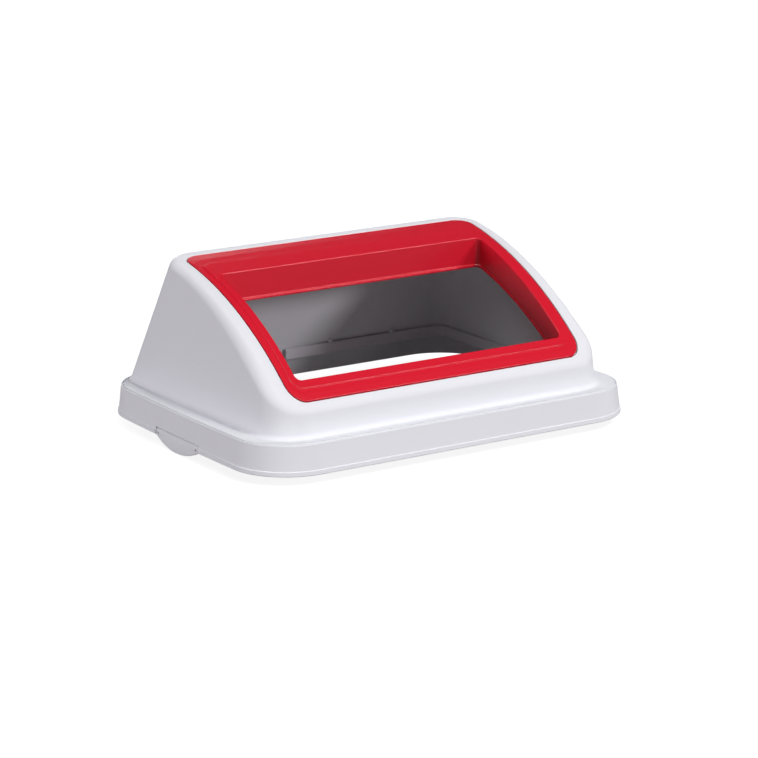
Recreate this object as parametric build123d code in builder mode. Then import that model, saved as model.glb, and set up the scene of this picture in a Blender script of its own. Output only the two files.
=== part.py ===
from build123d import *
import os

os.makedirs("parts", exist_ok=True)

# ---------------------------------------------------------------- overall sizes
WIDTH = 500.0  # long side of the skirt at its bottom edge
DEPTH = 385.0  # short side of the skirt at its bottom edge
SIDE_BOW = 4.0  # how far the two short sides bulge outwards
SKIRT_CORNER = 66.0  # plan radius of the skirt corners
SKIRT_HEIGHT = 34.0  # visible height of the skirt
SKIRT_INSET = 3.9  # how far the skirt leans in from bottom to top
WALL = 3.0  # moulded wall thickness
TAB_DROP = 11.0  # how far the lift tabs hang below the skirt

# ---------------------------------------------------------------- levels
SKIRT_LOW = TAB_DROP
RIM_TOP = SKIRT_LOW + SKIRT_HEIGHT
BEAD_HEIGHT = 2.0  # rolled rim standing above the shoulder
BEAD_WIDTH = 4.5
SHOULDER = RIM_TOP - BEAD_HEIGHT
LIP_HEIGHT = 5.0  # proud band along the skirt's bottom edge
LIP_PROUD = 0.8

# ---------------------------------------------------------------- hood
FOOT_SIDE = 30.6  # shoulder width on the short sides
FOOT_FRONT = 28.2  # shoulder width at the front
FOOT_REAR = 12.8  # shoulder width at the rear
FRONT_CORNER = 40.0  # plan radius of the hood's front corners
REAR_CORNER = 20.0  # plan radius of the hood's rear corners at the shoulder
REAR_GROWTH = 19.0  # how much that radius grows over the lean height
HOOD_REACH = 170.0  # height over which the hood walls are drawn in
SIDE_LEAN = 13.0  # side walls come in by this much over that height
FRONT_LEAN = 12.0
REAR_LEAN = 80.5
CREASE = 12.0  # outside radius where the walls turn into the roof
FOOT_FILLET = 5.0  # soft corner between shoulder and hood

# The roof is one arc about a line along X, seen from the side.
ROOF_RADIUS = 455.0
ROOF_Y = 156.2
ROOF_DROP = 263.0  # the arc's centre lies this far below the skirt's bottom edge
ROOF_Z = SKIRT_LOW - ROOF_DROP

# ---------------------------------------------------------------- aperture collar
COLLAR_HALF = 190.0
COLLAR_FRONT = -153.0
COLLAR_REAR = 87.0
COLLAR_CORNER = 18.0
OPEN_HALF = 173.5
OPEN_FRONT = -132.5
OPEN_REAR = 31.0
OPEN_CORNER = 6.0
COLLAR_RADIUS = ROOF_RADIUS  # outer band, flush with the hood's roof
COLLAR_THICK = 4.0
STEP_RISE = 1.2  # raised inner rim of the collar
RIM_HALF = OPEN_HALF + 8.5
RIM_FRONT = OPEN_FRONT - 9.5
RIM_REAR = OPEN_REAR + 28.0
RIM_CORNER = 13.0
FLANGE_DEPTH = 34.0
REBATE_GAP = 1.3  # joint line all round the collar
SEAT_GAP = 0.3
LEDGE_THICK = 3.0

# ---------------------------------------------------------------- liner hoop
HOOP_THICK = 3.0
HOOP_LOW = SHOULDER - 7.5
HOOP_HIGH = HOOP_LOW + 13.5
HOOP_GAP = 0.3
SPLIT_LEFT = -14.0
SPLIT_RIGHT = -8.0
NUB_X = (-140.0, 53.0, 140.0)
NUB_SIZE = 5.0

# ---------------------------------------------------------------- lift tabs
TAB_WIDTH = 97.0
TAB_GAP = 0.4
PIVOT_Z = SKIRT_LOW + 5.0
BARREL_R = 2.8
PIN_R = 1.6
PIN_LENGTH = 6.0
PIN_CLEAR = 0.05
BOSS_LENGTH = 9.0
BOSS_DEPTH = 7.5
BOSS_HEIGHT = 10.0

HALF_W = WIDTH / 2
HALF_D = DEPTH / 2


def plate(half_x, y_front, y_rear, corner, bow, level):
    """Rounded outline at one height; its short sides bulge outwards by bow."""
    middle = (y_front + y_rear) / 2
    with BuildSketch(Plane.XY.offset(level)) as outline:
        with BuildLine():
            Line((-half_x, y_front), (half_x, y_front))
            ThreePointArc((half_x, y_front), (half_x + bow, middle), (half_x, y_rear))
            Line((half_x, y_rear), (-half_x, y_rear))
            ThreePointArc((-half_x, y_rear), (-half_x - bow, middle), (-half_x, y_front))
        make_face()
        fillet(outline.vertices(), radius=corner)
    return outline.sketch


def prism(half_x, y_front, y_rear, corner, low, high):
    """Upright block with rounded corners."""
    with BuildPart() as block:
        with BuildSketch(Plane.XY.offset(low)) as base:
            with Locations((0, (y_front + y_rear) / 2)):
                Rectangle(2 * half_x, y_rear - y_front)
            fillet(base.vertices(), radius=corner)
        extrude(amount=high - low)
    return block.part


def under_arc(radius, drop=0.0):
    """Everything below the roof arc, drawn as a long drum along X."""
    with BuildPart() as drum:
        with BuildSketch(Plane.YZ.offset(-WIDTH)):
            with Locations((ROOF_Y, ROOF_Z - drop)):
                Circle(radius)
        extrude(amount=2 * WIDTH)
    return drum.part


def arc_edges(builder, radius):
    """Edges round the face that lies on the roof arc of the given radius."""
    drums = builder.faces().filter_by(GeomType.CYLINDER)
    return drums.filter_by(lambda face: abs(face.radius - radius) < 0.01).edges()


def skirt_block(inset, low, high):
    """Solid skirt shape between two heights, leaning in towards the top."""
    slope = SKIRT_INSET / SKIRT_HEIGHT
    inset_low = inset + slope * (low - SKIRT_LOW)
    inset_high = inset + slope * (high - SKIRT_LOW)
    with BuildPart() as block:
        for level, step in ((low, inset_low), (high, inset_high)):
            half_y = HALF_D - step
            corner = SKIRT_CORNER - step
            add(plate(HALF_W - SIDE_BOW - step, -half_y, half_y, corner, SIDE_BOW, level))
        loft(ruled=True)
    return block.part


def hood_outline(inset, level):
    """Rounded outline of the hood at one height, moved in by inset."""
    rise = (level - SHOULDER) / HOOD_REACH
    half_x = HALF_W - FOOT_SIDE - SIDE_LEAN * rise - inset
    y_front = -HALF_D + FOOT_FRONT + FRONT_LEAN * rise + inset
    y_rear = HALF_D - FOOT_REAR - REAR_LEAN * rise - inset
    with BuildSketch(Plane.XY.offset(level)) as ring:
        with Locations((0, (y_front + y_rear) / 2)):
            Rectangle(2 * half_x, y_rear - y_front)
        fillet(ring.vertices().group_by(Axis.Y)[0], radius=FRONT_CORNER - inset)
        fillet(ring.vertices().group_by(Axis.Y)[-1], radius=REAR_CORNER + REAR_GROWTH * rise - inset)
    return ring.sketch


def hood_frustum(inset, low, high):
    """Leaning hood walls between two heights, before the roof is cut."""
    with BuildPart() as block:
        add(hood_outline(inset, low))
        add(hood_outline(inset, high))
        loft(ruled=True)
    return block.part


def hood_block(inset, low, crease):
    """Closed hood shape: leaning walls, arched roof, rounded crease."""
    with BuildPart() as block:
        add(hood_frustum(inset, low, SHOULDER + HOOD_REACH))
        add(under_arc(ROOF_RADIUS - inset), mode=Mode.INTERSECT)
        fillet(arc_edges(block, ROOF_RADIUS - inset), radius=crease)
    return block.part


def box(low, high):
    """Plain block between two opposite corners."""
    size = [high[i] - low[i] for i in range(3)]
    middle = [(high[i] + low[i]) / 2 for i in range(3)]
    with BuildPart() as block:
        with Locations(tuple(middle)):
            Box(*size)
    return block.part


def skirt_ring(outer, inner, low, high):
    """Skirt wall between two insets from the skirt's outer face."""
    with BuildPart() as ring:
        add(skirt_block(outer, low, high))
        add(skirt_block(inner, low - 1, high + 1), mode=Mode.SUBTRACT)
    return ring.part


# ---------------------------------------------------------------- skirt and shoulder
def skirt_shell():
    """Skirt, bottom lip, shoulder and rolled rim, open underneath."""
    with BuildPart() as shell:
        add(skirt_block(0, SKIRT_LOW, RIM_TOP))
        crest = shell.edges().filter_by_position(Axis.Z, RIM_TOP - 0.01, RIM_TOP + 0.01)
        fillet(crest, radius=1.6)
        add(skirt_block(BEAD_WIDTH, SHOULDER, RIM_TOP + 1), mode=Mode.SUBTRACT)
        add(skirt_block(-LIP_PROUD, SKIRT_LOW, SKIRT_LOW + LIP_HEIGHT))
        add(skirt_block(WALL, SKIRT_LOW - 1, SHOULDER - WALL), mode=Mode.SUBTRACT)
    return shell.part


# ---------------------------------------------------------------- opening of the hood
def aperture(grow, low=SKIRT_LOW, high=2 * SHOULDER + HOOD_REACH):
    """Upright block the size of the collar's opening, grown outwards."""
    corner = OPEN_CORNER + grow
    return prism(OPEN_HALF + grow, OPEN_FRONT - grow, OPEN_REAR + grow, corner, low, high)


def collar_block(grow, low=SKIRT_LOW, high=2 * SHOULDER + HOOD_REACH):
    """Upright block the size of the collar's outline, grown outwards."""
    corner = COLLAR_CORNER + grow
    return prism(COLLAR_HALF + grow, COLLAR_FRONT - grow, COLLAR_REAR + grow, corner, low, high)


def rim_block(low=SKIRT_LOW, high=2 * SHOULDER + HOOD_REACH):
    """Upright block the size of the collar's raised inner rim."""
    return prism(RIM_HALF, RIM_FRONT, RIM_REAR, RIM_CORNER, low, high)


def arc_layer(block, r_low, r_high):
    """Part of an upright block lying between two roof arcs."""
    with BuildPart() as layer:
        add(block)
        add(under_arc(r_high), mode=Mode.INTERSECT)
        add(under_arc(r_low), mode=Mode.SUBTRACT)
    return layer.part


SEAT_RADIUS = COLLAR_RADIUS - COLLAR_THICK - SEAT_GAP
HOLE_GROW = WALL + 0.5
LEDGE_GROW = REBATE_GAP + WALL


def within_foot(edge):
    """True for the edges where the hood rises from the shoulder."""
    middle = edge.center()
    return abs(middle.X) < HALF_W - FOOT_SIDE + 1 and abs(middle.Y) < HALF_D - FOOT_FRONT + 1


def hood_rear(level, inset):
    """Y of the hood's rear wall at a height, moved in by inset."""
    return HALF_D - FOOT_REAR - REAR_LEAN * (level - SHOULDER) / HOOD_REACH - inset


# ---------------------------------------------------------------- tab bearings
NOTCH_HALF = TAB_WIDTH / 2
NOTCH_TOP = PIVOT_Z + BARREL_R + SEAT_GAP
FACE_X = HALF_W - SKIRT_INSET / SKIRT_HEIGHT * (PIVOT_Z - SKIRT_LOW)
PIVOT_DEPTH = BARREL_R + 0.2
PIVOT_X = FACE_X - PIVOT_DEPTH


def rod(side, radius, half_length):
    """Round bar along Y on one tab's pivot line."""
    with BuildPart() as bar:
        with BuildSketch(Plane.XZ.offset(-half_length)):
            with Locations((side * PIVOT_X, PIVOT_Z)):
                Circle(radius)
        extrude(amount=2 * half_length)
    return bar.part


def bearing_bosses(side):
    """Two blocks inside the skirt, one past each end of the notch."""
    inner = side * (HALF_W - BOSS_DEPTH - 1)
    outer = side * (HALF_W + 2)
    x_low, x_high = min(inner, outer), max(inner, outer)
    z_low = SKIRT_LOW + 0.5
    with BuildPart() as blocks:
        for y_low in (NOTCH_HALF, -NOTCH_HALF - BOSS_LENGTH):
            add(box((x_low, y_low, z_low), (x_high, y_low + BOSS_LENGTH, z_low + BOSS_HEIGHT)))
        add(skirt_block(1, SKIRT_LOW, RIM_TOP), mode=Mode.INTERSECT)
    return blocks.part


def notch(side):
    """Cut in the skirt that one tab fills."""
    inner = side * (HALF_W - 4 * WALL)
    outer = side * (HALF_W + 4 * WALL)
    x_low, x_high = min(inner, outer), max(inner, outer)
    return box((x_low, -NOTCH_HALF, -1), (x_high, NOTCH_HALF, NOTCH_TOP))


# ---------------------------------------------------------------- hood shell
with BuildPart() as hood_shell:
    add(skirt_shell())
    add(hood_block(0, SHOULDER - WALL, CREASE))
    level = hood_shell.edges().filter_by_position(Axis.Z, SHOULDER - 0.01, SHOULDER + 0.01)
    fillet(level.filter_by(within_foot), radius=FOOT_FILLET)
    # hollow of the hood
    add(hood_block(WALL, SHOULDER - 2 * WALL, CREASE - WALL), mode=Mode.SUBTRACT)
    # ledge and rebate that carry the collar, then the opening through the ledge
    add(arc_layer(collar_block(LEDGE_GROW), SEAT_RADIUS - LEDGE_THICK, ROOF_RADIUS - WALL))
    add(arc_layer(collar_block(REBATE_GAP), SEAT_RADIUS, ROOF_RADIUS + 2 * WALL), mode=Mode.SUBTRACT)
    add(aperture(HOLE_GROW), mode=Mode.SUBTRACT)
    # nubs on the rear wall that hold the liner hoop down
    for x in NUB_X:
        z_nub = HOOP_HIGH + SEAT_GAP
        y_wall = hood_rear(z_nub, WALL)
        add(box((x - NUB_SIZE / 2, y_wall - NUB_SIZE, z_nub), (x + NUB_SIZE / 2, y_wall + 1, z_nub + WALL)))
    # notches and bearings of the lift tabs
    for side in (-1, 1):
        add(notch(side), mode=Mode.SUBTRACT)
        add(bearing_bosses(side))
        add(rod(side, PIN_R + PIN_CLEAR, NOTCH_HALF + PIN_LENGTH + 1), mode=Mode.SUBTRACT)

# ---------------------------------------------------------------- aperture collar
with BuildPart() as aperture_collar:
    add(arc_layer(collar_block(0), COLLAR_RADIUS - COLLAR_THICK, COLLAR_RADIUS))
    fillet(arc_edges(aperture_collar, COLLAR_RADIUS), radius=1.8)
    # raised rim round the opening
    add(arc_layer(rim_block(), COLLAR_RADIUS - COLLAR_THICK, COLLAR_RADIUS + STEP_RISE))
    fillet(arc_edges(aperture_collar, COLLAR_RADIUS + STEP_RISE), radius=0.8)
    # flange wall down inside the opening; its lower edge follows the roof arc
    with BuildPart(mode=Mode.PRIVATE) as flange:
        add(aperture(WALL))
        add(under_arc(COLLAR_RADIUS), mode=Mode.INTERSECT)
        add(under_arc(COLLAR_RADIUS, FLANGE_DEPTH), mode=Mode.SUBTRACT)
    add(flange)
    add(aperture(0), mode=Mode.SUBTRACT)

# ---------------------------------------------------------------- liner hoop
def hoop_block(inset):
    """Upright block that fits inside the hood's wall at the hoop's upper edge."""
    with BuildPart() as block:
        add(hood_outline(WALL + HOOP_GAP + inset, HOOP_HIGH))
        extrude(amount=HOOP_LOW - HOOP_HIGH)
    return block.part


with BuildPart() as liner_hoop:
    add(hoop_block(0))
    add(hoop_block(HOOP_THICK), mode=Mode.SUBTRACT)
    add(box((SPLIT_LEFT, 0, 0), (SPLIT_RIGHT, DEPTH, 2 * SHOULDER)), mode=Mode.SUBTRACT)


# ---------------------------------------------------------------- lift tabs
def lift_tab(side):
    """Tab flush with the skirt, its lower edge a shallow arc, with pivot stubs."""
    half = NOTCH_HALF - TAB_GAP
    with BuildPart() as tab:
        with BuildSketch(Plane.YZ.offset(min(side * (HALF_W - 15), side * (HALF_W + 10)))):
            with BuildLine():
                Line((-half, SKIRT_LOW), (-half, PIVOT_Z))
                Line((-half, PIVOT_Z), (half, PIVOT_Z))
                Line((half, PIVOT_Z), (half, SKIRT_LOW))
                ThreePointArc((half, SKIRT_LOW), (0, SKIRT_LOW - TAB_DROP), (-half, SKIRT_LOW))
            make_face()
        extrude(amount=25)
        add(skirt_ring(0, WALL, -2, RIM_TOP), mode=Mode.INTERSECT)
        add(rod(side, BARREL_R, half))
        add(rod(side, PIN_R, half + PIN_LENGTH))
    return tab.part


tab_left = lift_tab(-1)
tab_right = lift_tab(1)

# ---------------------------------------------------------------- files
hood_shell.part.label = "hood_shell"
aperture_collar.part.label = "aperture_collar"
liner_hoop.part.label = "liner_hoop"
tab_left.label = "tab_left"
tab_right.label = "tab_right"

export_step(hood_shell.part, "parts/hood_shell.step")
export_step(aperture_collar.part, "parts/aperture_collar.step")
export_step(liner_hoop.part, "parts/liner_hoop.step")
export_step(tab_left, "parts/tab_left.step")
export_step(tab_right, "parts/tab_right.step")
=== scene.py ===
"""Hooded open-top lid of a rectangular waste bin, with a red lift-out aperture collar."""

import math

import bpy
import numpy as np
from bpy.props import FloatProperty, FloatVectorProperty, PointerProperty
from bpy.types import Operator, Panel, PropertyGroup
from mathutils import Matrix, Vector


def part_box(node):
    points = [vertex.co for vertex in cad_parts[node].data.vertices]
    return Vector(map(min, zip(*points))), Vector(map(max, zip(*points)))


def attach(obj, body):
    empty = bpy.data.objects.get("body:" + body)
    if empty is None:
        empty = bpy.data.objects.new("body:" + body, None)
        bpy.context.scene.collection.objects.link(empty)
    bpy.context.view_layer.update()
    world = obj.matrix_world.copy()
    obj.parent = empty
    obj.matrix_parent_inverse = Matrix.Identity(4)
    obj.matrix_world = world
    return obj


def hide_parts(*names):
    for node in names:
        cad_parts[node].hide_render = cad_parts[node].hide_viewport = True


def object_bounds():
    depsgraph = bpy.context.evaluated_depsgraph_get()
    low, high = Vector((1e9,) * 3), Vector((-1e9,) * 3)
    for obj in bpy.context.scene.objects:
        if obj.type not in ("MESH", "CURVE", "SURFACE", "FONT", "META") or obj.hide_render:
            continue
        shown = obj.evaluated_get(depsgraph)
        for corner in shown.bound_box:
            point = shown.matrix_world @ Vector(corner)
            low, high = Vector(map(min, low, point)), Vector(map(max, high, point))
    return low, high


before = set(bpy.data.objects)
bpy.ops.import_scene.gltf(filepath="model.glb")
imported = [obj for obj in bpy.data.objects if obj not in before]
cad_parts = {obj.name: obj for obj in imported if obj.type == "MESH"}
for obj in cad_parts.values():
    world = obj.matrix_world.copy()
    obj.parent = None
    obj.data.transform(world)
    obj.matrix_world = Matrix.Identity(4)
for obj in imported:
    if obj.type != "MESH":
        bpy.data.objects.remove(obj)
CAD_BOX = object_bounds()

bl_info = {
    "name": "Hooded Bin Lid",
    "version": (1, 0, 0),
    "blender": (4, 5, 0),
    "location": "View3D > Sidebar > Bin Lid",
    "description": "Builds a hooded waste bin lid with its aperture collar, liner hoop and lift tabs",
    "category": "Object",
}

HOOD_LOW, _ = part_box("hood_shell")
COLLAR_LOW, COLLAR_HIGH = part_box("aperture_collar")
HOOP_LOW, HOOP_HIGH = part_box("liner_hoop")
TAB_LOW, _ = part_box("tab_left")

MM = 0.001


def length(name, about, default):
    """A size in metres that the sidebar shows as a length."""
    kind = {"precision": 4, "unit": "LENGTH", "subtype": "DISTANCE"}
    return FloatProperty(name=name, description=about, default=default, min=0.0, **kind)


def place(name, about, default):
    """A position along one axis, which may be negative."""
    kind = {"precision": 4, "unit": "LENGTH", "subtype": "DISTANCE"}
    return FloatProperty(name=name, description=about, default=default, **kind)


def tilt(name, about, degrees):
    """An angle given in degrees and kept in radians."""
    kind = {"unit": "ROTATION", "subtype": "ANGLE"}
    return FloatProperty(name=name, description=about, default=math.radians(degrees), **kind)


def colour(name, about, default):
    """A linear colour."""
    kind = {"size": 3, "min": 0.0, "max": 1.0, "subtype": "COLOR"}
    return FloatVectorProperty(name=name, description=about, default=default, **kind)


class HoodSizes(PropertyGroup):
    """Sizes of the skirt, the shoulder and the hood."""

    half_width: length("Half width", "Half the skirt's long side, at its bottom edge", 250.0 * MM)
    half_depth: length("Half depth", "Half the skirt's short side, at its bottom edge", 192.5 * MM)
    side_bow: length("Side bow", "How far the short sides bulge", 4.0 * MM)
    skirt_corner: length("Skirt corner", "Plan radius of the skirt corners", 66.0 * MM)
    skirt_low: length("Skirt bottom", "Height of the skirt's bottom edge", HOOD_LOW.z)
    skirt_height: length("Skirt height", "Height of the skirt", 34.0 * MM)
    skirt_inset: length("Skirt lean", "How far the skirt leans in from bottom to top", 3.9 * MM)
    wall: length("Wall", "Moulded wall thickness", 3.0 * MM)
    bead_width: length("Rim bead width", "Width of the rolled rim", 4.5 * MM)
    bead_height: length("Rim bead height", "Height of the rolled rim over the shoulder", 2.0 * MM)
    lip_height: length("Lip height", "Height of the proud band at the skirt's bottom", 5.0 * MM)
    lip_proud: length("Lip stand", "How far that band stands out", 0.8 * MM)
    foot_side: length("Side shoulder", "Shoulder width on the short sides", 30.6 * MM)
    foot_front: length("Front shoulder", "Shoulder width at the front", 28.2 * MM)
    foot_rear: length("Rear shoulder", "Shoulder width at the rear", 12.8 * MM)
    front_corner: length("Front corner", "Plan radius of the hood's front corners", 40.0 * MM)
    rear_corner: length("Rear corner", "Plan radius of the hood's rear corners at the shoulder", 20.0 * MM)
    rear_growth: length("Rear corner growth", "How much that radius grows over the lean height", 19.0 * MM)
    hood_reach: length("Lean height", "Height over which the leans are measured", 170.0 * MM)
    side_lean: length("Side lean", "How far each side wall comes in", 13.0 * MM)
    front_lean: length("Front lean", "How far the front wall comes in", 12.0 * MM)
    rear_lean: length("Rear lean", "How far the rear wall comes in", 80.5 * MM)
    crease: length("Crease radius", "Rounding between the walls and the roof", 12.0 * MM)
    roof_radius: length("Roof radius", "Radius of the roof arc, seen from the side", 455.0 * MM)
    roof_y: place("Roof centre Y", "Front to back place of the roof arc's centre", 156.2 * MM)
    roof_z: place("Roof centre Z", "Height of the roof arc's centre", HOOD_LOW.z - 263.0 * MM)
    nub: length("Nub", "Size of the nubs that hold the liner hoop", 5.0 * MM)
    shade: colour("Colour", "Pale grey-white of the moulding", (0.80, 0.80, 0.84))


class CollarSizes(PropertyGroup):
    """Sizes of the aperture collar."""

    half: length("Half width", "Half the collar's width", COLLAR_HIGH.x)
    front: place("Front edge", "Y of the collar's front edge", COLLAR_LOW.y)
    rear: place("Rear edge", "Y of the collar's rear edge", COLLAR_HIGH.y)
    corner: length("Corner", "Plan radius of the collar's corners", 18.0 * MM)
    open_half: length("Opening half width", "Half the opening's width", 173.5 * MM)
    open_front: place("Opening front", "Y of the opening's front edge", -132.5 * MM)
    open_rear: place("Opening rear", "Y of the opening's rear edge", 31.0 * MM)
    open_corner: length("Opening corner", "Plan radius of the opening's corners", 6.0 * MM)
    rim_half: length("Rim half width", "Half the width of the raised inner rim", 182.0 * MM)
    rim_front: place("Rim front", "Y of the raised rim's front edge", -142.0 * MM)
    rim_rear: place("Rim rear", "Y of the raised rim's rear edge", 59.0 * MM)
    rim_corner: length("Rim corner", "Plan radius of the raised rim", 13.0 * MM)
    rise: length("Rim rise", "Height of the raised rim over the band", 1.2 * MM)
    sink: length("Sink", "How far the band lies under the hood's roof", 0.0)
    thick: length("Thickness", "Thickness of the band", 4.0 * MM)
    gap: length("Joint", "Width of the joint line round the collar", 1.3 * MM)
    seat_gap: length("Seat gap", "Gap between the band and the hood's ledge", 0.3 * MM)
    flange: length("Flange depth", "How far the flange wall goes down", 34.0 * MM)
    shade: colour("Colour", "Signal red of the collar", (0.53, 0.0, 0.005))


class HoopSizes(PropertyGroup):
    """Sizes of the liner hoop."""

    gap: length("Gap", "Gap between the hoop and the hood wall", 0.3 * MM)
    thick: length("Thickness", "Thickness of the hoop", 3.0 * MM)
    split_left: place("Split left", "X of the split's left end", -14.0 * MM)
    split_right: place("Split right", "X of the split's right end", -8.0 * MM)
    shade: colour("Colour", "Light grey of the hoop", (0.66, 0.66, 0.72))


class TabSizes(PropertyGroup):
    """Sizes of the two lift tabs."""

    half: length("Half width", "Half the width of the notch that a tab fills", 48.5 * MM)
    gap: length("Gap", "Joint line between a tab and its notch", 0.4 * MM)
    top: length("Notch top", "Height of the notch's upper edge", 19.1 * MM)
    thick: length("Thickness", "Thickness of a tab", 3.0 * MM)
    barrel: length("Barrel radius", "Radius of the pivot barrel along a tab's upper edge", 2.8 * MM)
    pin: length("Stub radius", "Radius of the pivot stubs", 1.6 * MM)
    stub: length("Stub length", "Length of each pivot stub", 6.0 * MM)


class StageSizes(PropertyGroup):
    """Camera, light and floor."""

    azimuth: tilt("Azimuth", "Camera angle round the lid, from the front", -32.33)
    elevation: tilt("Elevation", "Camera angle over the horizon", 14.52)
    roll: tilt("Roll", "Camera roll", -0.59)
    distance: length("Distance", "Camera distance", 3298.0 * MM)
    lens: FloatProperty(
        name="Lens",
        description="Focal length on a 36 mm sensor, in millimetres",
        default=137.74,
        min=10.0,
        unit="CAMERA",
    )
    aim_right: place("Aim right", "How far the view is moved right of the lid's middle", 12.54 * MM)
    aim_up: place("Aim up", "How far the view is moved over the lid's middle", -42.0 * MM)
    aim_height: length("Aim height", "Height of the point that the camera turns about", 91.0 * MM)
    floor_half: length("Floor", "Half the floor's width", 6.0)
    floor_shade: colour("Floor colour", "Pale studio floor", (0.27, 0.27, 0.27))


# ---------------------------------------------------------------- outlines
CORNER_STEPS = 14
LONG_STEPS = 44
SHORT_STEPS = 14


def long_stops():
    """Fractions along a long side, evenly spaced."""
    return np.linspace(0.0, 1.0, LONG_STEPS + 1)[1:-1]


def short_stops():
    """Fractions along a short side, with two close columns at each end of the tab's notch."""
    hood = bpy.context.scene.lid_hood
    half = hood.half_depth - hood.skirt_corner
    edge = bpy.context.scene.lid_tabs.half
    slit = 0.05 * MM
    before = np.linspace(-half, -edge - slit, SHORT_STEPS)[1:]
    over = np.linspace(-edge + slit, edge - slit, SHORT_STEPS)
    after = np.linspace(edge + slit, half, SHORT_STEPS)[:-1]
    return np.concatenate((before, over, after)) / (2.0 * half) + 0.5


def outline(half_x, front, rear, corner, bow=0.0, rear_stops=None, rear_corner=None):
    """Rounded rectangle walked anticlockwise from the front right corner.

    Four quarter circles, centre + corner * (cos a, sin a), joined by straight
    sides; then x is stretched by bow * (1 - (y / half depth) squared).
    """
    turn = np.linspace(0.0, np.pi / 2, CORNER_STEPS + 1)
    starts = np.array([-0.5, 0.0, 0.5, 1.0]) * np.pi
    signs = np.array([[1, 0], [1, 1], [-1, 1], [-1, 0]])
    at_rear = signs[:, 1] == 1
    radii = np.where(at_rear, corner if rear_corner is None else rear_corner, corner)
    centres = np.stack((signs[:, 0] * (half_x - radii), np.where(at_rear, rear - radii, front + radii)), 1)
    angles = starts[:, None] + turn[None, :]
    arcs = centres[:, None, :] + radii[:, None, None] * np.stack((np.cos(angles), np.sin(angles)), 2)
    short, long = short_stops(), long_stops()
    stops = (short, long if rear_stops is None else rear_stops, short, long)
    parts = []
    for k in range(4):
        begin, end = arcs[k, -1], arcs[(k + 1) % 4, 0]
        parts += [arcs[k], begin + (end - begin) * stops[k][:, None]]
    points = np.vstack(parts)
    middle, reach = (front + rear) / 2, (rear - front) / 2
    swell = bow * (1.0 - ((points[:, 1] - middle) / reach) ** 2)
    points[:, 0] *= 1.0 + swell / half_x
    return points


def at_height(points, z):
    """An outline laid flat at height z."""
    return np.column_stack((points, np.full(len(points), z)))


def roof_height(y, radius, drop=0.0):
    """Height of the roof arc: centre z + square root of (radius squared - (y - centre y) squared)."""
    hood = bpy.context.scene.lid_hood
    return hood.roof_z - drop + np.sqrt(radius**2 - (y - hood.roof_y) ** 2)


def on_roof(points, radius, drop=0.0):
    """An outline raised onto the roof arc of the given radius."""
    return np.column_stack((points, roof_height(points[:, 1], radius, drop)))


def skirt_loop(inset, z):
    """Skirt outline at height z; it leans in by the same slope all round."""
    hood = bpy.context.scene.lid_hood
    step = inset + hood.skirt_inset / hood.skirt_height * (z - hood.skirt_low)
    half_x, half_y = hood.half_width - hood.side_bow - step, hood.half_depth - step
    points = outline(half_x, -half_y, half_y, hood.skirt_corner - step, hood.side_bow)
    return at_height(points, z)


def shoulder_height():
    """Height of the shoulder's upper face."""
    hood = bpy.context.scene.lid_hood
    return hood.skirt_low + hood.skirt_height - hood.bead_height


def hood_loop(inset, z, rear_stops=None):
    """Hood wall outline at height z; each wall leans in by its own slope."""
    hood = bpy.context.scene.lid_hood
    rise = (z - shoulder_height()) / hood.hood_reach
    half_x = hood.half_width - hood.foot_side - hood.side_lean * rise - inset
    front = -hood.half_depth + hood.foot_front + hood.front_lean * rise + inset
    rear = hood.half_depth - hood.foot_rear - hood.rear_lean * rise - inset
    corners = hood.front_corner - inset, hood.rear_corner + hood.rear_growth * rise - inset
    if rear_stops is not None:
        run = half_x - corners[1]
        right = (run - rear_stops[1]) / (2 * run)
        left = (run - rear_stops[0]) / (2 * run)
        count = LONG_STEPS // 2
        rear_stops = np.concatenate((np.linspace(0, right, count)[1:], np.linspace(left, 1, count)[:-1]))
    return at_height(outline(half_x, front, rear, corners[0], 0.0, rear_stops, corners[1]), z)


def crease_loop(inset, radius):
    """Where each straight wall line meets the roof arc: root of a quadratic for each column."""
    hood = bpy.context.scene.lid_hood
    low = hood_loop(inset, shoulder_height())
    high = hood_loop(inset, shoulder_height() + hood.hood_reach)
    run = high - low
    away = low[:, 1:] - np.array([hood.roof_y, hood.roof_z])
    a = (run[:, 1:] ** 2).sum(1)
    b = 2.0 * (run[:, 1:] * away).sum(1)
    c = (away**2).sum(1) - radius**2
    t = (-b + np.sqrt(b * b - 4.0 * a * c)) / (2.0 * a)
    return low + run * t[:, None]


# ---------------------------------------------------------------- sections
def unit(vectors):
    """Vectors scaled to length one."""
    return vectors / np.maximum(np.linalg.norm(vectors, axis=-1, keepdims=True), 1e-12)


def rounded_corner(before, here, after, radius, steps, shares):
    """Rows of an arc of the given radius that rounds the corner at here, column by column.

    The tangent length is radius / tan(half the angle), at most its share of
    each side; the arc is a slerp between its two radii, with one support row
    just outside each end.
    """
    a, b = unit(before - here), unit(after - here)
    cosine = np.clip((a * b).sum(1), -0.9999, 0.9999)
    half = np.arccos(cosine) / 2
    sides = [np.linalg.norm(other - here, axis=1) for other in (before, after)]
    room = np.minimum(shares[0] * sides[0], shares[1] * sides[1])
    tangent = np.minimum(radius / np.tan(half), room)
    r = tangent * np.tan(half)
    centre = here + unit(a + b) * (r / np.sin(half))[:, None]
    begin, end = here + a * tangent[:, None] - centre, here + b * tangent[:, None] - centre
    sweep = np.pi - 2 * half
    t = np.linspace(0.0, 1.0, steps + 1)[:, None, None]
    w = sweep[None, :, None]
    arc = (np.sin((1 - t) * w) * begin[None] + np.sin(t * w) * end[None]) / np.sin(w) + centre[None]
    guard = (0.06 * tangent)[:, None]
    return np.concatenate(((arc[0] + a * guard)[None], arc, (arc[-1] + b * guard)[None]))


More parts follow.
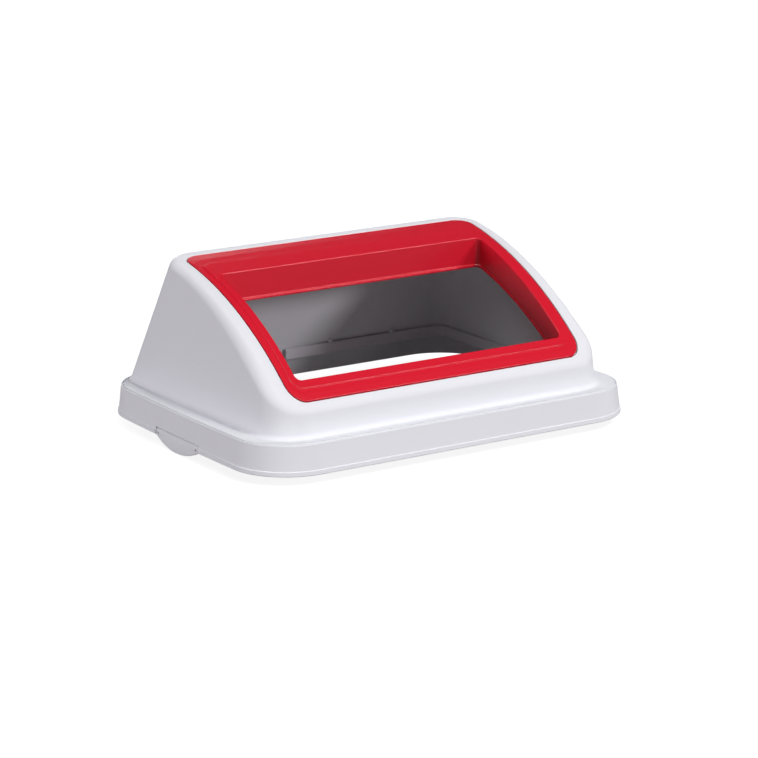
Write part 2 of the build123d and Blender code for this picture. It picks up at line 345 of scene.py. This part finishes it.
def section_grid(stations):
    """Closed section carried round the columns: every station's corner rounded, rows stacked."""
    rows = []
    for k, (loop, radius, steps) in enumerate(stations):
        before, after = stations[k - 1], stations[(k + 1) % len(stations)]
        shares = [0.92 * radius / (radius + other[1]) for other in (before, after)]
        rows.append(rounded_corner(before[0], loop, after[0], radius, steps, shares))
    return np.concatenate(rows)


def grid_faces(rows, columns, wrap_rows=True, wrap_columns=True):
    """Quads of a grid of points, wrapped round in either direction."""
    i = np.arange(rows if wrap_rows else rows - 1)
    j = np.arange(columns if wrap_columns else columns - 1)
    i, j = [k.ravel() for k in np.meshgrid(i, j, indexing="ij")]
    up, on = (i + 1) % rows, (j + 1) % columns
    return np.column_stack((i * columns + j, i * columns + on, up * columns + on, up * columns + j))


def ring_part(grid):
    """Points and faces of a grid closed both ways."""
    return grid.reshape(-1, 3), grid_faces(*grid.shape[:2]).tolist()


def capped_part(grid):
    """Points and faces of a bar: the section wraps, the two ends of the path are closed."""
    rows, columns = grid.shape[:2]
    faces = grid_faces(rows, columns, True, False).tolist()
    first = (np.arange(rows) * columns).tolist()
    last = (np.arange(rows)[::-1] * columns + columns - 1).tolist()
    return grid.reshape(-1, 3), faces + [first, last]


def dome_part(rings):
    """Points and faces of a stack of rings closed by a pole at each end."""
    rows, columns = rings.shape[:2]
    points = np.vstack((rings.reshape(-1, 3), rings[0].mean(0), rings[-1].mean(0)))
    j = np.arange(columns)
    on = (j + 1) % columns
    low = np.column_stack((np.full(columns, rows * columns), on, j))
    base = (rows - 1) * columns
    high = np.column_stack((np.full(columns, rows * columns + 1), base + j, base + on))
    return points, grid_faces(rows, columns, False, True).tolist() + low.tolist() + high.tolist()


def pillow_block(centre, size, edge=0.12, power=5.0):
    """Small moulded block: a superellipsoid, |x|^p + |y|^p + |z|^p = 1, closed at both poles."""
    u = np.linspace(0.0, 2 * np.pi, 32, endpoint=False)
    v = np.linspace(-np.pi / 2, np.pi / 2, 19)[1:-1]
    u, v = np.meshgrid(u, v)

    def soft(x):
        return np.sign(x) * np.abs(x) ** (2 / power)

    level = soft(np.cos(v))
    rings = np.stack((level * soft(np.cos(u)), level * soft(np.sin(u)), soft(np.sin(v))), 2)
    return dome_part(np.array(centre) + rings * np.array(size) / 2)


def join_parts(parts):
    """Several closed surfaces put into one mesh."""
    points, faces, base = [], [], 0
    for part_points, part_faces in parts:
        points.append(part_points)
        faces += [[base + k for k in face] for face in part_faces]
        base += len(part_points)
    return np.vstack(points), faces


def add_piece(name, part, material, body, node):
    """Puts a surface into the scene, shades it, ties it to its body and hides the CAD part of its node."""
    points, faces = part
    mesh = bpy.data.meshes.new(name)
    mesh.from_pydata(points.tolist(), [], faces)
    mesh.validate()
    mesh.shade_smooth()
    mesh.set_sharp_from_angle(angle=math.radians(38))
    mesh.materials.append(material)
    piece = bpy.data.objects.new(name, mesh)
    bpy.context.scene.collection.objects.link(piece)
    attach(piece, body)
    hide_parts(node)
    return piece


# ---------------------------------------------------------------- hood
NOTCH_BAND = 20 * MM  # how far in from the side a column still belongs to a short side
NUB_PLACES = (-140.0 * MM, 53.0 * MM, 140.0 * MM)
NUB_TALL = 3.6 * MM
NUB_ROOT = 0.8 * MM  # how far a nub goes into the wall
NUB_RISE = 2.0 * MM  # nub middle over the hoop's upper edge
BEARING_SIZE = (6.6 * MM, 9.0 * MM, 9.6 * MM)
BEARING_IN = 5.6 * MM  # bearing middle in from the skirt's side, and over its bottom edge
BEARING_ALONG = 4.8 * MM  # bearing middle past the end of the notch


def notch_columns(loop):
    """Columns of the skirt's short sides that lie over a tab's notch."""
    hood, tabs = bpy.context.scene.lid_hood, bpy.context.scene.lid_tabs
    return (np.abs(loop[:, 1]) < tabs.half) & (np.abs(loop[:, 0]) > hood.half_width - NOTCH_BAND)


def lifted(loop, plain, z):
    """A skirt station whose notch columns follow the plain skirt face at height z."""
    over = notch_columns(loop)
    raised = skirt_loop(plain, z)
    return np.where(over[:, None], raised, loop)


def hood_stations():
    """Section of the hood moulding: skirt, lip, bead, shoulder, wall, crease, roof, rebate, ledge, inside."""
    scene = bpy.context.scene
    hood, collar, tabs = scene.lid_hood, scene.lid_collar, scene.lid_tabs
    low, top, seat = hood.skirt_low, hood.skirt_low + hood.skirt_height, shoulder_height()
    lip, bead = low + hood.lip_height, hood.bead_width
    ledge = hood.roof_radius - collar.sink - collar.thick - collar.seat_gap
    under = ledge - hood.wall
    rebate = collar_outline(-collar.gap)
    hole = opening_outline(-hood.wall - 0.5 * MM)
    return [
        (lifted(skirt_loop(-hood.lip_proud, low), 0.0, tabs.top), 0.8 * MM, 4),
        (lifted(skirt_loop(-hood.lip_proud, lip), 0.0, tabs.top + 1.5 * MM), 0.5 * MM, 3),
        (lifted(skirt_loop(0.0, lip + 0.5 * MM), 0.0, tabs.top + 3.0 * MM), 0.4 * MM, 3),
        (skirt_loop(0.0, top - 0.8 * MM), 0.9 * MM, 6),
        (skirt_loop(bead / 3, top - 0.8 * MM), 0.4 * MM, 4),
        (skirt_loop(bead / 3 + 0.1 * MM, seat - 0.2 * MM), 0.3 * MM, 3),
        (skirt_loop(0.6 * bead - 0.1 * MM, seat - 0.2 * MM), 0.3 * MM, 3),
        (skirt_loop(0.6 * bead, top), 0.5 * MM, 4),
        (hood_loop(0.0, seat), 5.5 * MM, 8),
        (crease_loop(0.0, hood.roof_radius), hood.crease, 16),
        (on_roof(rebate, hood.roof_radius), 0.9 * MM, 5),
        (on_roof(rebate, ledge), 0.4 * MM, 2),
        (on_roof(hole, ledge), 0.5 * MM, 3),
        (on_roof(hole, under), 0.5 * MM, 3),
        (crease_loop(hood.wall, under), 8.0 * MM, 10),
        (hood_loop(hood.wall, seat - hood.wall), 1.0 * MM, 4),
        (skirt_loop(hood.wall, seat - hood.wall), 1.5 * MM, 5),
        (lifted(skirt_loop(hood.wall, low), hood.wall, tabs.top), 0.8 * MM, 3),
    ]


def hood_blocks():
    """Nubs over the liner hoop and the bearing blocks at the ends of each notch."""
    hood, tabs = bpy.context.scene.lid_hood, bpy.context.scene.lid_tabs
    z = HOOP_HIGH.z + NUB_RISE
    lean = hood.rear_lean * (z - shoulder_height()) / hood.hood_reach
    rear = hood.half_depth - hood.foot_rear - lean - hood.wall
    nub_y, nub_size = rear - hood.nub / 2 + NUB_ROOT, (hood.nub, hood.nub + 2 * NUB_ROOT, NUB_TALL)
    blocks = [pillow_block((x, nub_y, z), nub_size) for x in NUB_PLACES]
    x, y, z = hood.half_width - BEARING_IN, tabs.half + BEARING_ALONG, hood.skirt_low + BEARING_IN
    for side in (-1, 1):
        for end in (-1, 1):
            blocks.append(pillow_block((side * x, end * y, z), BEARING_SIZE))
    return blocks


# ---------------------------------------------------------------- collar
def collar_outline(inset):
    """The collar's outer outline moved in by inset."""
    c = bpy.context.scene.lid_collar
    return outline(c.half - inset, c.front + inset, c.rear - inset, c.corner - inset)


def rim_outline(inset):
    """Outline of the collar's raised inner rim moved in by inset."""
    c = bpy.context.scene.lid_collar
    return outline(c.rim_half - inset, c.rim_front + inset, c.rim_rear - inset, c.rim_corner - inset)


def opening_outline(inset):
    """Outline of the opening moved in by inset."""
    c = bpy.context.scene.lid_collar
    return outline(c.open_half - inset, c.open_front + inset, c.open_rear - inset, c.open_corner - inset)


def collar_stations():
    """Section of the collar: undercut edge, crowned band, step, raised rim, beaded flange, underside."""
    scene = bpy.context.scene
    hood, c = scene.lid_hood, scene.lid_collar
    band = hood.roof_radius - c.sink
    crown = band + c.rise
    wall = hood.wall
    middle = 0.5 * (collar_outline(2.0 * MM) + rim_outline(-2.0 * MM))
    return [
        (on_roof(collar_outline(1.5 * MM), band - c.thick), 0.5 * MM, 3),
        (on_roof(collar_outline(1.5 * MM), band - 1.7 * MM), 0.3 * MM, 2),
        (on_roof(collar_outline(0.0), band - 0.7 * MM), 0.3 * MM, 4),
        (on_roof(collar_outline(0.0), band), 0.8 * MM, 7),
        (on_roof(middle, band + 0.2 * MM), 9.0 * MM, 6),
        (on_roof(rim_outline(-0.15 * MM), band), 0.4 * MM, 4),
        (on_roof(rim_outline(0.0), crown), 0.9 * MM, 6),
        (on_roof(opening_outline(0.0), crown), 1.5 * MM, 8),
        (on_roof(opening_outline(-0.5 * MM), band, c.flange - 4.0 * MM), 0.9 * MM, 4),
        (on_roof(opening_outline(0.6 * MM), band, c.flange - 2.6 * MM), 0.8 * MM, 5),
        (on_roof(opening_outline(0.6 * MM), band, c.flange), 0.8 * MM, 5),
        (on_roof(opening_outline(-wall), band, c.flange), 0.9 * MM, 4),
        (on_roof(opening_outline(-wall), band - c.thick), 1.0 * MM, 4),
    ]


# ---------------------------------------------------------------- hoop and tabs
def hoop_part():
    """Flat strap, thinned behind its upper edge, carried round the hood's foot and ended at the split."""
    hood, hoop = bpy.context.scene.lid_hood, bpy.context.scene.lid_hoop
    low, high = HOOP_LOW.z, HOOP_HIGH.z
    outer, inner = hood.wall + hoop.gap, hood.wall + hoop.gap + hoop.thick
    stops = (hoop.split_left, hoop.split_right)
    outside, inside = (hood_loop(inset, high, stops)[:, :2] for inset in (outer, inner))
    crest = outside + 0.8 * (inside - outside)
    corners = (
        (outside, low, 0.7, 3),
        (outside, high - 4.0 * MM, 0.7, 3),
        (crest, high, 0.2, 2),
        (inside, high, 0.4, 3),
        (inside, low, 0.9, 4),
    )
    stations = [(at_height(loop, z), radius * MM, steps) for loop, z, radius, steps in corners]
    grid = section_grid(stations)
    first = int(np.argmin(np.where(grid[0, :, 1] > 0, np.abs(grid[0, :, 0] - hoop.split_left), 1.0)))
    return capped_part(np.roll(grid, -first, axis=1))


BARREL_ROOM = 0.3 * MM  # gap over the pivot barrel, under the notch's edge
BARREL_DEPTH = 0.2 * MM  # how far the barrel lies behind the skirt's face
BARREL_SLACK = 0.97  # share of the barrel's radius that is drawn
BARREL_EDGE = 0.5 * MM
BARREL_SIDES = 40


def tab_outline(inset):
    """Tab seen from its side, moved in by inset: flat top just over the pivot, short ends, an arc below."""
    hood, tabs = bpy.context.scene.lid_hood, bpy.context.scene.lid_tabs
    half = tabs.half - tabs.gap - inset
    top = tabs.top - BARREL_ROOM - tabs.barrel / 2 - inset
    drop = hood.skirt_low - TAB_LOW.z
    sweep = ((tabs.half - tabs.gap) ** 2 + drop**2) / (2 * drop)
    y = np.linspace(-half, half, 65)
    arc = TAB_LOW.z + sweep - np.sqrt((sweep - inset) ** 2 - y**2)
    side = np.linspace(0.0, 1.0, 9)[1:-1]
    lower = np.column_stack((y, arc))
    right = np.column_stack((np.full(7, half), arc[-1] + (top - arc[-1]) * side))
    upper = np.column_stack((y[::-1], np.full(65, top)))
    left = np.column_stack((np.full(7, -half), top + (arc[0] - top) * side))
    return np.vstack((lower, right, upper, left))


def skirt_face(z):
    """X of the skirt's side at height z, at its middle: half width less the lean's slope times the rise."""
    hood = bpy.context.scene.lid_hood
    return hood.half_width - hood.skirt_inset / hood.skirt_height * (z - hood.skirt_low)


def tab_part(side):
    """Tab plate flush with the leaning skirt, with its pivot barrel and stubs behind the upper edge.

    A point's x is the skirt face at its height and place along the bow, less the depth of its ring.
    """
    hood, tabs = bpy.context.scene.lid_hood, bpy.context.scene.lid_tabs
    thick = tabs.thick
    depths = (0.0, 0.0, 0.25 * MM, 0.9 * MM, thick - 0.8 * MM, thick - 0.2 * MM, thick, thick)
    insets = (6.0, 1.0, 0.3, 0.0, 0.0, 0.3, 0.9, 6.0)
    rings = []
    for inset, depth in zip(insets, depths):
        yz = tab_outline(inset * MM)
        bow = hood.side_bow * (yz[:, 0] / hood.half_depth) ** 2
        rings.append(np.column_stack((side * (skirt_face(yz[:, 1]) - bow - depth), yz)))
    rings = np.array(rings)
    plate = dome_part(rings if side > 0 else rings[:, ::-1])
    axis_z = tabs.top - BARREL_ROOM - tabs.barrel
    axis_x = side * (skirt_face(axis_z) - tabs.barrel - BARREL_DEPTH)
    inner = tabs.half - tabs.gap
    reach = inner + tabs.stub
    half = [
        (inner - BARREL_EDGE, BARREL_SLACK * tabs.barrel),
        (inner, BARREL_SLACK * (tabs.barrel - BARREL_EDGE)),
        (inner, tabs.pin),
        (reach - BARREL_EDGE, tabs.pin),
        (reach, tabs.pin - BARREL_EDGE),
    ]
    profile = np.array([(-along, radius) for along, radius in half[::-1]] + half)
    angle = np.linspace(0.0, 2 * np.pi, BARREL_SIDES, endpoint=False)
    radius = profile[:, 1:]
    y = np.broadcast_to(profile[:, :1], (len(profile), BARREL_SIDES))
    barrel = np.stack((axis_x + radius * np.cos(angle), y, axis_z + radius * np.sin(angle)), 2)
    return join_parts([plate, dome_part(barrel[:, ::-1])])


# ---------------------------------------------------------------- materials
def new_material(name):
    """Empty node material with its output, Principled shader and Object coordinates."""
    material = bpy.data.materials.new(name)
    material.use_nodes = True
    tree = material.node_tree
    shader = tree.nodes["Principled BSDF"]
    coords = tree.nodes.new("ShaderNodeTexCoord")
    return material, tree, shader, coords.outputs["Object"]


def noise(tree, coords, scale, detail=2.0, rough=0.5, stretch=None):
    """Noise on Object coordinates, one cell about 1 / scale metres; stretch squeezes it along an axis."""
    node = tree.nodes.new("ShaderNodeTexNoise")
    node.inputs["Scale"].default_value = scale
    node.inputs["Detail"].default_value = detail
    node.inputs["Roughness"].default_value = rough
    if stretch:
        mapping = tree.nodes.new("ShaderNodeMapping")
        mapping.inputs["Scale"].default_value = stretch
        tree.links.new(coords, mapping.inputs["Vector"])
        coords = mapping.outputs["Vector"]
    tree.links.new(coords, node.inputs["Vector"])
    return node.outputs["Fac"]


def ramp(tree, value, low, high):
    """Maps a noise value's middle range to low..high."""
    node = tree.nodes.new("ShaderNodeMapRange")
    for socket, number in zip(("From Min", "From Max", "To Min", "To Max"), (0.3, 0.7, low, high)):
        node.inputs[socket].default_value = number
    tree.links.new(value, node.inputs["Value"])
    return node.outputs["Result"]


def blend_colour(tree, value, first, second):
    """Mixes two colours by a value."""
    node = tree.nodes.new("ShaderNodeMix")
    node.data_type = "RGBA"
    node.inputs["A"].default_value = (*first, 1.0)
    node.inputs["B"].default_value = (*second, 1.0)
    tree.links.new(value, node.inputs["Factor"])
    return node.outputs["Result"]


def bump(tree, height, distance, strength, below=None):
    """Bump from a height value, over another bump if one is given."""
    node = tree.nodes.new("ShaderNodeBump")
    node.inputs["Distance"].default_value = distance
    node.inputs["Strength"].default_value = strength
    tree.links.new(height, node.inputs["Height"])
    if below:
        tree.links.new(below, node.inputs["Normal"])
    return node.outputs["Normal"]


def grained_plastic(name, shade, grain=0.55):
    """Pale injection-moulded plastic: fine spark-eroded grain, faint flow clouds and rubbed patches."""
    material, tree, shader, coords = new_material(name)
    clouds = ramp(tree, noise(tree, coords, 9.0, 3.0), 0.0, 1.0)
    darker = tuple(0.965 * s for s in shade)
    tree.links.new(blend_colour(tree, clouds, shade, darker), shader.inputs["Base Color"])
    rubbed = ramp(tree, noise(tree, coords, 26.0, 5.0, 0.62, (1.0, 1.0, 2.2)), 0.44, 0.56)
    tree.links.new(rubbed, shader.inputs["Roughness"])
    waves = bump(tree, noise(tree, coords, 14.0, 1.0), 0.0006, 0.35)
    fine = bump(tree, noise(tree, coords, 950.0, 2.0, 0.6), 0.00022, grain, waves)
    tree.links.new(fine, shader.inputs["Normal"])
    shader.inputs["IOR"].default_value = 1.49
    shader.inputs["Specular IOR Level"].default_value = 0.45
    return material


def gloss_plastic(name, shade):
    """Glossy moulded plastic: deep colour, slight flow lines, a soft ripple and fine marks."""
    material, tree, shader, coords = new_material(name)
    flow = ramp(tree, noise(tree, coords, 7.0, 4.0, 0.55, (1.0, 2.5, 2.5)), 0.0, 1.0)
    deeper = tuple(0.86 * s for s in shade)
    tree.links.new(blend_colour(tree, flow, shade, deeper), shader.inputs["Base Color"])
    marks = ramp(tree, noise(tree, coords, 220.0, 6.0, 0.7, (0.25, 1.0, 1.0)), 0.09, 0.16)
    tree.links.new(marks, shader.inputs["Roughness"])
    ripple = bump(tree, noise(tree, coords, 60.0, 1.0), 0.00025, 0.3)
    fine = bump(tree, noise(tree, coords, 900.0, 1.0), 0.00003, 0.25, ripple)
    tree.links.new(fine, shader.inputs["Normal"])
    shader.inputs["IOR"].default_value = 1.5
    shader.inputs["Specular IOR Level"].default_value = 0.1
    shader.inputs["Coat Weight"].default_value = 0.8
    shader.inputs["Coat Roughness"].default_value = 0.03
    return material


def floor_paint(shade):
    """Pale matt studio floor with barely visible mottling, lifted towards white where it is seen directly."""
    material, tree, shader, coords = new_material("studio_floor")
    mottle = ramp(tree, noise(tree, coords, 1.5, 4.0), 0.0, 1.0)
    faded = tuple(0.985 * s for s in shade)
    tree.links.new(blend_colour(tree, mottle, shade, faded), shader.inputs["Base Color"])
    shader.inputs["Roughness"].default_value = 0.9
    shader.inputs["Specular IOR Level"].default_value = 0.1
    shader.inputs["Emission Color"].default_value = (1.0, 1.0, 1.0, 1.0)
    rays = tree.nodes.new("ShaderNodeLightPath")
    lift = tree.nodes.new("ShaderNodeMath")
    lift.operation = "MULTIPLY"
    lift.inputs[1].default_value = 0.88
    tree.links.new(rays.outputs["Is Camera Ray"], lift.inputs[0])
    tree.links.new(lift.outputs[0], shader.inputs["Emission Strength"])
    return material


def lid_material(name, make, shade):
    """The named material, made once and shared by the pieces that use it."""
    return bpy.data.materials.get(name) or make(name, tuple(shade))


# ---------------------------------------------------------------- operators
class LID_OT_hood(Operator):
    """Build the hood moulding from one closed section carried round the lid"""

    bl_idname = "lid.hood"
    bl_label = "Hood"

    def execute(self, context):
        material = lid_material("hood_plastic", grained_plastic, context.scene.lid_hood.shade)
        part = join_parts([ring_part(section_grid(hood_stations()))] + hood_blocks())
        add_piece("hood_moulding", part, material, "hood", "hood_shell")
        return {"FINISHED"}


class LID_OT_collar(Operator):
    """Build the red aperture collar with its stepped rim and flange wall"""

    bl_idname = "lid.collar"
    bl_label = "Aperture collar"

    def execute(self, context):
        material = lid_material("collar_plastic", gloss_plastic, context.scene.lid_collar.shade)
        part = ring_part(section_grid(collar_stations()))
        add_piece("collar_frame", part, material, "collar", "aperture_collar")
        return {"FINISHED"}


class LID_OT_hoop(Operator):
    """Build the split liner hoop inside the hood's foot"""

    bl_idname = "lid.hoop"
    bl_label = "Liner hoop"

    def execute(self, context):
        material = lid_material("hoop_plastic", grained_plastic, context.scene.lid_hoop.shade)
        add_piece("hoop_strap", hoop_part(), material, "hood", "liner_hoop")
        return {"FINISHED"}


class LID_OT_tabs(Operator):
    """Build the two lift tabs with their pivot barrels"""

    bl_idname = "lid.tabs"
    bl_label = "Lift tabs"

    def execute(self, context):
        material = lid_material("hood_plastic", grained_plastic, context.scene.lid_hood.shade)
        for side, word in ((-1, "left"), (1, "right")):
            part = tab_part(side)
            add_piece(f"lift_tab_{word}", part, material, f"{word}_tab", f"tab_{word}")
        return {"FINISHED"}


def axes_matrix(right, up, back, spot):
    """Matrix of an object at spot whose axes point along right, up and back."""
    rows = np.column_stack((right, up, back))
    return Matrix([[*row, p] for row, p in zip(rows, spot)] + [[0, 0, 0, 1]])


def turned(back, spot):
    """Matrix of an object at spot whose +Z axis points along back, with +X level."""
    back = unit(np.array(back, float))
    right = unit(np.cross((0.0, 0.0, 1.0), back))
    up = np.cross(back, right)
    return axes_matrix(right, up, back, spot)


def add_sun(name, towards, power, spread, tint):
    """Even studio light from one direction, softened by its spread in degrees."""
    data = bpy.data.lights.new(name, "SUN")
    data.energy, data.color = power, tint
    data.angle = math.radians(spread)
    light = bpy.data.objects.new(name, data)
    light.matrix_world = turned(towards, (0.0, 0.0, 2.0))
    bpy.context.scene.collection.objects.link(light)


class LID_OT_stage(Operator):
    """Set up the floor, the soft lights and the camera"""

    bl_idname = "lid.stage"
    bl_label = "Stage"

    def execute(self, context):
        scene, stage = context.scene, context.scene.lid_stage
        edge = stage.floor_half * np.linspace(-1.0, 1.0, 25)
        x, y = np.meshgrid(edge, edge)
        mesh = bpy.data.meshes.new("floor")
        grid = np.stack((x, y, np.full_like(x, CAD_BOX[0][2])), 2)
        mesh.from_pydata(grid.reshape(-1, 3).tolist(), [], grid_faces(25, 25, False, False).tolist())
        mesh.materials.append(floor_paint(tuple(stage.floor_shade)))
        floor = bpy.data.objects.new("floor", mesh)
        scene.collection.objects.link(floor)

        world = bpy.data.worlds.new("studio")
        world.use_nodes = True
        world.node_tree.nodes["Background"].inputs["Color"].default_value = (0.96, 0.96, 1.0, 1.0)
        world.node_tree.nodes["Background"].inputs["Strength"].default_value = 0.035
        scene.world = world
        add_sun("key", (0.18, -0.62, 0.76), 1.75, 14.0, (1.0, 0.99, 0.98))
        add_sun("top", (-0.30, -0.22, 0.93), 0.75, 50.0, (0.98, 0.98, 1.0))
        add_sun("low", (0.50, -0.85, 0.285), 0.95, 12.0, (1.0, 0.96, 1.0))
        add_sun("fill", (-0.98, 0.12, 0.09), 1.2, 8.0, (1.0, 0.945, 0.99))
        add_sun("back", (0.35, 0.90, 0.25), 0.7, 20.0, (0.98, 0.98, 1.0))
        scene.view_settings.view_transform = "Standard"

        az, el, roll = stage.azimuth, stage.elevation, stage.roll
        back = np.array([math.sin(az) * math.cos(el), -math.cos(az) * math.cos(el), math.sin(el)])
        flat = np.array([math.cos(az), math.sin(az), 0.0])
        rise = np.cross(back, flat)
        right = flat * math.cos(roll) + rise * math.sin(roll)
        up = rise * math.cos(roll) - flat * math.sin(roll)
        aim = np.array([0.0, 0.0, stage.aim_height])
        eye = aim + back * stage.distance + right * stage.aim_right + up * stage.aim_up
        data = bpy.data.cameras.new("camera")
        data.lens, data.sensor_width, data.clip_end = stage.lens, 36.0, 100.0
        camera = bpy.data.objects.new("camera", data)
        camera.matrix_world = axes_matrix(right, up, back, eye)
        scene.collection.objects.link(camera)
        scene.camera = camera
        return {"FINISHED"}


class LID_PT_panel(Panel):
    """Sidebar panel that lists the lid's operators and sizes"""

    bl_label = "Bin Lid"
    bl_idname = "LID_PT_panel"
    bl_space_type = "VIEW_3D"
    bl_region_type = "UI"
    bl_category = "Bin Lid"

    def draw(self, context):
        for group, operator in GROUPS:
            column = self.layout.column(align=True)
            settings = getattr(context.scene, group)
            for name in settings.__annotations__:
                column.prop(settings, name)
            column.operator(operator)


GROUPS = (
    ("lid_hood", "lid.hood"),
    ("lid_collar", "lid.collar"),
    ("lid_hoop", "lid.hoop"),
    ("lid_tabs", "lid.tabs"),
    ("lid_stage", "lid.stage"),
)
SETTINGS = {
    "lid_hood": HoodSizes,
    "lid_collar": CollarSizes,
    "lid_hoop": HoopSizes,
    "lid_tabs": TabSizes,
    "lid_stage": StageSizes,
}
OPERATORS = (LID_OT_hood, LID_OT_collar, LID_OT_hoop, LID_OT_tabs, LID_OT_stage)
CLASSES = (*SETTINGS.values(), *OPERATORS, LID_PT_panel)


def register():
    """Add the classes and the scene's settings."""
    for item in CLASSES:
        bpy.utils.register_class(item)
    for name, group in SETTINGS.items():
        setattr(bpy.types.Scene, name, PointerProperty(type=group))


def unregister():
    """Remove the settings and the classes."""
    for name in SETTINGS:
        delattr(bpy.types.Scene, name)
    for item in reversed(CLASSES):
        bpy.utils.unregister_class(item)


def main():
    register()
    bpy.ops.lid.hood()
    bpy.ops.lid.collar()
    bpy.ops.lid.hoop()
    bpy.ops.lid.tabs()
    bpy.ops.lid.stage()


if __name__ == "__main__":
    main()
